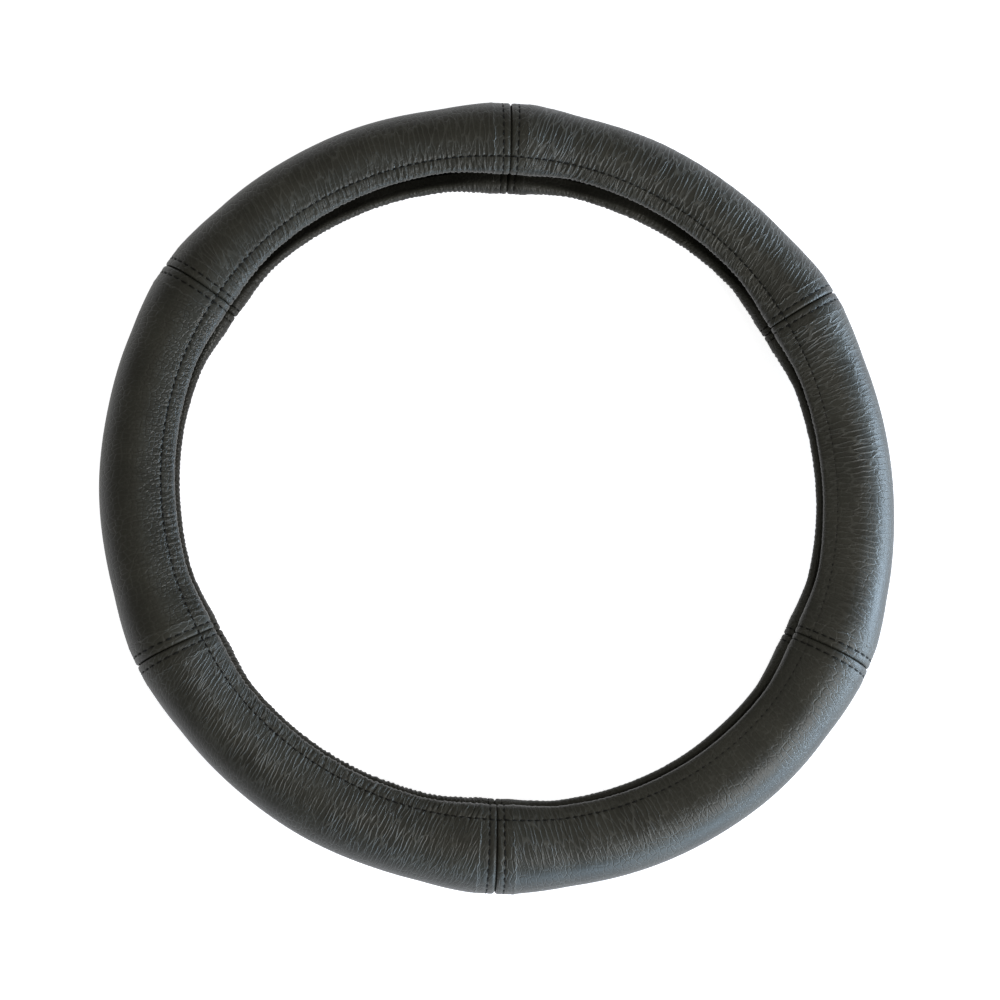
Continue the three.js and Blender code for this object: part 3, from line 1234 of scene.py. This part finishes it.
@dataclass(frozen=True)
class Net:
    """A wandering net of lines over the leather, along the edges of its cells.

    Attributes:
        width: Width of a cell along the ring.
        length: Its length across the band.
        flank: Width of a line's flank, as a share of a cell.
        far_flank: Width of its flank on the other side, where that is wider.
        plain: How strong the net is on plain leather.
        creased: What creases add to that.
        netted: What the fine net beside the hems adds.
        least: The share that is left of it where the hide's patches weaken it.
        height: How far its lines stand out, in millimetres, or sink in where it is negative.
        painted_highlight: How far its lines are painted pale, a painted highlight for the light
            that their flanks catch.
    """

    width: float
    length: float
    flank: float
    far_flank: float = 0
    plain: float = 0
    creased: float = 0
    netted: float = 0
    least: float = 1
    height: float = 0
    painted_highlight: float = 0


# The last number of VEINS and of LOZENGES is how far their lines are painted pale, a painted
# highlight.
VEINS = Net(2.5 * MM, 11 * MM, 0.11, 0.27, creased=1, least=0.5, height=0.25, painted_highlight=0.68)
LOZENGES = Net(
    2.5 * MM,
    2.5 * MM / 0.6,
    0.14,
    plain=0.95,
    creased=-0.7,
    netted=-0.3,
    least=0.35,
    height=-0.13,
    painted_highlight=0.28,
)
PEBBLES = Net(
    2.1 * MM,
    2.1 * MM,
    0.22,
    plain=0.16,
    creased=-0.06,
    netted=0.65,
    least=0.3,
    height=-0.15,
)


@dataclass(frozen=True)
class LeatherFinish:
    """Soft black leather with a milled grain, creased in veins and lozenges across the band.

    Heights are in millimetres and are scaled by one bump. A pair of numbers is where a noise, a
    distance or a cosine starts to count and where it counts in full. The nets' lines, the
    allowances' edges and the seams' folds are painted pale, as painted highlights, and the
    pebbles' grooves and the dents under the stitches are painted dark, as painted shade.
    """

    dark: tuple = tint(0.0150, 0.0147, 0.0120)
    pale: tuple = tint(0.0235, 0.0230, 0.0190)
    # Painted highlight: the pale colour of the nets' lines, the allowances' edges and the seams'
    # folds, for the light that their flanks catch.
    highlight_colour: tuple = tint(0.0620, 0.0620, 0.0580)
    # Painted shade: the near-black colour that darkens the pebbles' grooves and the leather under
    # the stitches.
    sewn: tuple = tint(0.0050, 0.0048, 0.0042)
    gather: float = 2.1 * MM
    warp_size: float = 8 * MM
    warp: tuple[float, float, float] = (0.9, 0.5, 0.0)
    randomness: float = 0.85
    patch_size: float = 24 * MM
    tones: tuple[float, float] = (0.35, 0.68)
    lozenge_patches: tuple[float, float] = (0.3, 0.6)
    break_size: float = 6 * MM
    breaks: tuple[float, float] = (0.28, 0.5)
    pore_size: float = 0.5 * MM
    pore_height: float = 0.015
    groove_shade: float = 0.6
    edge_sway: float = 3 * MM
    edge_before: float = 1.2 * MM
    edge_width: float = 0.5 * MM
    edge_patch_size: float = 9 * MM
    edge_patches: tuple[float, float] = (0.42, 0.6)
    edge_height: float = 0.3
    # Painted highlight: how far the allowance's edge line is painted pale, for the light that its
    # ridge catches.
    edge_highlight: float = 0.6
    # Painted highlight: the seams' folds are painted pale, fading out between these distances from
    # the seam.
    fold: tuple[float, float] = (0.15 * MM, 0.7 * MM)
    fold_highlight: float = 0.5
    stitch_width: float = 0.64 * MM
    stitch_ends: tuple[float, float] = (-0.8, -0.2)
    stitch_depth: float = 0.3
    stitch_shade: float = 0.9
    roughness: float = 0.38
    patch_roughness: float = 0.14
    pore_roughness: float = 0.06
    sewn_roughness: float = 0.4
    net_gloss: float = 0.1
    shine: float = 0.28

    def make(self, leather: Leather) -> bpy.types.Material:
        """Makes the leather's material.

        Args:
            leather: How the leather is sewn.

        Returns:
            The material.
        """
        material, nodes = start_material("leather")
        place = nodes.add("ShaderNodeUVMap", {"uv_map": "blank"})
        creased = nodes.painted("crease").math("MINIMUM", 1.0)
        netted = nodes.painted("net").math("MINIMUM", 1.0)
        broken = nodes.noise(place, self.break_size).step(*self.breaks)
        patches = nodes.noise(place, self.patch_size, 3)
        pores = nodes.noise(place, self.pore_size)
        tracts = patches.step(*self.lozenge_patches)
        drawn = {}
        for net, unbroken in ((VEINS, broken), (LOZENGES, tracts), (PEBBLES, broken)):
            strength = net.plain + net.creased * creased + net.netted * netted
            strength = strength.math("MAXIMUM", 0.0)
            drawn[net] = self.ridges(nodes, place, net) * strength * softened(net.least, unbroken)
        edge = self.edge_line(nodes, place, leather)
        # Painted highlight: 1 on the seam's fold, where it is painted pale.
        folded = 1 - nodes.painted("beside_seam").step(*self.fold)
        # Painted highlight: the nets' lines, the allowance's edge and the seam's fold are painted
        # pale.
        lines = sum(net.painted_highlight * line for net, line in drawn.items() if net.painted_highlight)
        lines = lines + edge * self.edge_highlight + folded * self.fold_highlight
        sewn = self.sewing(nodes, leather)
        colour = nodes.blend(patches.step(*self.tones), self.dark, self.pale)
        colour = nodes.blend(lines.math("MINIMUM", 1.0), colour, self.highlight_colour)
        # Painted shade: the pebbles' grooves beside the hems are darkened.
        painted_groove_shade = drawn[PEBBLES] * netted * self.groove_shade
        colour = nodes.blend(painted_groove_shade, colour, self.sewn)
        height = sum(net.height * line for net, line in drawn.items())
        height = height + edge * self.edge_height + pores * self.pore_height
        roughness = self.roughness + self.patch_roughness * patches + self.pore_roughness * pores
        nodes.surface(
            "ShaderNodeBsdfPrincipled",
            {
                # Painted shade: the leather under each stitch is darkened almost to black, for the
                # shade in its dent.
                "Base Color": nodes.blend(sewn * self.stitch_shade, colour, self.sewn),
                "Roughness": roughness + self.sewn_roughness * sewn - self.net_gloss * netted,
                "Specular IOR Level": self.shine,
                "Normal": nodes.bump(height - sewn * self.stitch_depth, MM),
            },
        )
        return material

    def edge_line(self, nodes: Nodes, place: Value, leather: Leather) -> Value:
        """The broken line where an allowance's free edge shows through.

        Args:
            nodes: The material's nodes.
            place: Place on the flat blank.
            leather: How the leather is sewn.

        Returns:
            1 on the line and 0 beside it.
        """
        wander = nodes.noise(place, self.edge_sway, 3) * self.edge_sway
        off = nodes.painted("beside_seam") - (wander + (leather.allowance - self.edge_before))
        edge = 1 - off.math("ABSOLUTE").step(0.0, self.edge_width)
        patches = nodes.noise(place, self.edge_patch_size).step(*self.edge_patches)
        return edge * softened(0.4, patches)

    def sewing(self, nodes: Nodes, leather: Leather) -> Value:
        """Where any stitch presses into the leather, from 0 to 1."""
        off = nodes.painted("beside_seam") - leather.topstitch
        hem = self.row(nodes, nodes.painted("beside_hem"), "hem_phase")
        hem = hem * nodes.painted("hem_mark")
        return self.row(nodes, off, "seam_phase").math("MAXIMUM", hem)

    def row(self, nodes: Nodes, off: Value, phase: str) -> Value:
        """Where the stitches of a row press into the leather.

        Args:
            nodes: The material's nodes.
            off: Distance from the row.
            phase: The name of the attribute that holds the place along the row.

        Returns:
            1 under a stitch, 0 away from the row and little between two stitches.
        """
        stitch = nodes.painted(phase).math("COSINE").step(*self.stitch_ends)
        line = 1 - off.math("ABSOLUTE").step(0.0, self.stitch_width)
        return line * softened(0.2, stitch)

    def ridges(self, nodes: Nodes, place: Value, net: Net) -> Value:
        """The lines of a net, whose cells follow the creases' lean.

        Args:
            nodes: The material's nodes.
            place: Place on the flat blank.
            net: The net. Veins are drawn closer on the lip's side of the hem's stitches.

        Returns:
            1 on the lines and 0 beside them.
        """
        scale = 1 / net.width
        if net is VEINS:
            inside = nodes.painted("beside_hem").math("GREATER_THAN", 0.0)
            scale = inside * (1 / self.gather - scale) + scale
        around = nodes.painted("lean") * scale
        across = nodes.part(place, "Y") * (1 / net.length)
        drawn = nodes.add("ShaderNodeCombineXYZ", None, {"X": around, "Y": across})
        warp = nodes.noise(place, self.warp_size, 2, 1)
        drawn = nodes.vector("MULTIPLY_ADD", warp, self.warp, drawn)
        inputs = {"Vector": drawn, "Scale": 1.0, "Randomness": self.randomness}
        settings = {"feature": "DISTANCE_TO_EDGE", "voronoi_dimensions": "2D"}
        edge = nodes.add("ShaderNodeTexVoronoi", settings, inputs)
        if not net.far_flank:
            return 1 - edge.step(0.0, net.flank)
        settings = {"feature": "F1", "voronoi_dimensions": "2D"}
        centre = nodes.add("ShaderNodeTexVoronoi", settings, inputs, "Position")
        aside = nodes.part(nodes.vector("SUBTRACT", drawn, centre), "X")
        width = aside.math("GREATER_THAN", 0.0) * (net.far_flank - net.flank) + net.flank
        return 1 - edge.math("DIVIDE", width).step(0.0, 1.0)


@dataclass(frozen=True)
class RubberFinish:
    """Matt black moulded rubber."""

    dark: tuple = tint(0.0080, 0.0080, 0.0082)
    pale: tuple = tint(0.0130, 0.0130, 0.0134)
    bloom_size: float = 15 * MM
    blooms: tuple[float, float] = (0.35, 0.7)
    roughness: float = 0.62
    bloom_roughness: float = 0.14
    shine: float = 0.3
    skin_size: float = 0.6 * MM
    skin_height: float = 0.05 * MM

    def make(self) -> bpy.types.Material:
        """Makes the rubber's material.

        Returns:
            The material.
        """
        material, nodes = start_material("rubber")
        place = nodes.add("ShaderNodeTexCoord", None, None, "Object")
        bloom = nodes.noise(place, self.bloom_size, 3)
        skin = nodes.noise(place, self.skin_size)
        nodes.surface(
            "ShaderNodeBsdfPrincipled",
            {
                "Base Color": nodes.blend(bloom.step(*self.blooms), self.dark, self.pale),
                "Roughness": self.roughness + self.bloom_roughness * bloom,
                "Specular IOR Level": self.shine,
                "Normal": nodes.bump(skin, self.skin_height),
            },
        )
        return material


@dataclass(frozen=True)
class ThreadFinish:
    """Waxed black thread, with the twist of its strands."""

    dark: tuple = tint(0.0030, 0.0030, 0.0030)
    pale: tuple = tint(0.0080, 0.0080, 0.0076)
    twist: float = 9
    roughness: float = 0.7
    strand_roughness: float = 0.15
    shine: float = 0.2
    strand_height: float = 0.06 * MM

    def make(self) -> bpy.types.Material:
        """Makes the thread's material.

        Returns:
            The material.
        """
        material, nodes = start_material("thread")
        place = nodes.add("ShaderNodeTexCoord", None, None, "UV")
        settings = {"wave_type": "BANDS", "bands_direction": "DIAGONAL"}
        inputs = {"Vector": place, "Scale": self.twist}
        strands = nodes.add("ShaderNodeTexWave", settings, inputs, "Fac")
        nodes.surface(
            "ShaderNodeBsdfPrincipled",
            {
                "Base Color": nodes.blend(strands, self.dark, self.pale),
                "Roughness": self.roughness + self.strand_roughness * strands,
                "Specular IOR Level": self.shine,
                "Normal": nodes.bump(strands, self.strand_height),
            },
        )
        return material


class Finish(Enum):
    """The cover's three finishes, by the record's material slots."""

    LEATHER = "leather"
    RUBBER = "rubber"
    THREAD = "thread"


@dataclass(frozen=True)
class Lamp:
    """One soft lamp.

    Attributes:
        name: Its name.
        place: Where it hangs.
        size: Its width and height.
        watts: Its power.
        colour: Its colour.
    """

    name: str
    place: tuple[float, float, float]
    size: tuple[float, float]
    watts: float
    colour: tuple[float, float, float]

    def hang(self) -> None:
        """Hangs the lamp, turned towards the ring."""
        data = bpy.data.lights.new(self.name, "AREA")
        data.shape = "RECTANGLE"
        data.size, data.size_y = self.size
        data.energy = self.watts
        data.color = self.colour
        lamp = bpy.data.objects.new(self.name, data)
        lamp.location = self.place
        lamp.rotation_euler = Vector(self.place).to_track_quat("Z", "Y").to_euler()
        bpy.context.scene.collection.objects.link(lamp)


@dataclass
class Studio:
    """The pale floor, the soft light and the camera."""

    ring: Ring
    floor: float = 6.0
    floor_drop: float = 0.1 * MM
    floor_colour: tuple = tint(0.80, 0.81, 0.92)
    floor_glow: float = 0.8
    sky: tuple = tint(1.0, 0.99, 0.86)
    sky_strength: float = 0.33
    lamps: tuple[Lamp, ...] = (
        Lamp("overhead_lamp", (-0.3, 0.4, 1.5), (1.2, 1.2), 3, (1.0, 0.98, 0.86)),
        Lamp("key_lamp", (0.869, -0.679, 0.862), (0.5, 0.5), 16, (1.0, 0.985, 0.95)),
        Lamp("window_lamp", (1.2, -0.1, 0.07), (1.2, 0.14), 38, (0.62, 0.81, 1.0)),
        Lamp("low_lamp", (0.6, -1.05, 0.1), (1.0, 0.18), 14, (0.58, 0.8, 1.0)),
    )
    distance: float = 1.003
    tilt: float = math.radians(6.84)
    swing: float = math.radians(2.96)
    lens: float = 74.6
    sensor: float = 36.0
    shift_right: float = -0.0012
    shift_up: float = -0.0087

    def build(self) -> None:
        """Sets up the floor, the world, the lamps and the camera."""
        self.lay_floor()
        self.light()
        self.aim_camera()
        scene = bpy.context.scene
        scene.view_settings.view_transform = "Standard"

    def lay_floor(self) -> None:
        """Lays a floor that is white to the eye and keeps the cover's shadow."""
        bpy.ops.object.select_all(action="DESELECT")
        bpy.ops.mesh.primitive_plane_add(size=self.floor, location=(0, 0, -self.floor_drop))
        floor = bpy.context.object
        floor.name = "floor"
        material, nodes = start_material("floor")
        seen = nodes.add("ShaderNodeLightPath", None, None, "Is Camera Ray")
        for ray in ("Is Glossy Ray", "Is Transmission Ray"):
            seen = seen.math("MAXIMUM", nodes.add("ShaderNodeLightPath", None, None, ray))
        glow = {"Color": tint(1, 1, 1), "Strength": seen * self.floor_glow}
        lit = nodes.add("ShaderNodeBsdfDiffuse", None, {"Color": self.floor_colour})
        glowing = nodes.add("ShaderNodeEmission", None, glow)
        nodes.surface("ShaderNodeAddShader", {0: lit, 1: glowing})
        floor.data.materials.append(material)

    def light(self) -> None:
        """Sets an even sky and hangs the lamps."""
        world = bpy.data.worlds.new("studio")
        bpy.context.scene.world = world
        world.use_nodes = True
        nodes = Nodes(world.node_tree)
        inputs = {"Color": self.sky, "Strength": self.sky_strength}
        sky = nodes.add("ShaderNodeBackground", None, inputs)
        nodes.add("ShaderNodeOutputWorld", None, {"Surface": sky})
        for lamp in self.lamps:
            lamp.hang()

    def aim_camera(self) -> None:
        """Hangs the camera nearly over the ring, as the photograph was taken."""
        data = bpy.data.cameras.new("camera")
        data.lens, data.sensor_width = self.lens, self.sensor
        data.shift_x, data.shift_y = self.shift_right, self.shift_up
        camera = bpy.data.objects.new("camera", data)
        bpy.context.scene.collection.objects.link(camera)
        bpy.context.scene.camera = camera
        target = Vector((0, 0, self.ring.middle_height))
        back = Vector(
            (
                -math.sin(self.swing),
                -math.sin(self.tilt) * math.cos(self.swing),
                math.cos(self.tilt) * math.cos(self.swing),
            )
        )
        right = Vector((0, 1, 0)).cross(back).normalized()
        turned = Matrix((right, back.cross(right), back)).transposed()
        camera.location = target + back * self.distance
        camera.rotation_euler = turned.to_euler()


@dataclass
class Cover:
    """The whole cover, from its ring to its last row of stitches."""

    ring: Ring = Ring()
    finishes: dict[Finish, bpy.types.Material] = field(default_factory=dict)

    def dress(self, piece: bpy.types.Object, node: str, finish: Finish) -> None:
        """Gives a piece its finish and its place in the frame.

        Args:
            piece: The piece.
            node: The node that it stands for.
            finish: Its finish.
        """
        piece.data.materials.clear()
        piece.data.materials.append(self.finishes[finish])
        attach(piece, "root")
        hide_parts(node)
        LOG.info("%s: %d faces", piece.name, len(piece.data.polygons))

    def build(self) -> None:
        """Builds every piece in order."""
        self.finishes = {
            Finish.LEATHER: LeatherFinish().make(self.ring.leather),
            Finish.RUBBER: RubberFinish().make(),
            Finish.THREAD: ThreadFinish().make(),
        }
        rubber = RubberRing(self.ring).build()
        self.dress(rubber, "rubber_ring", Finish.RUBBER)
        seams = self.ring.seams
        ends = [*seams[1:], seams[0] + 2 * math.pi]
        for number, (start, end) in enumerate(zip(seams, ends), start=1):
            panel = LeatherPanel(number, start, end, self.ring, CHARACTERS[number - 1])
            piece = panel.build()
            self.dress(piece, panel.name, Finish.LEATHER)
            panel.cut()
        for node, row in Sewing(self.ring).build().items():
            self.dress(row, node, Finish.THREAD)


def main() -> None:
    """Builds the studio and the cover."""
    logging.basicConfig(level=logging.INFO)
    ring = Ring()
    Studio(ring).build()
    Cover(ring).build()


if __name__ == "__main__":
    main()
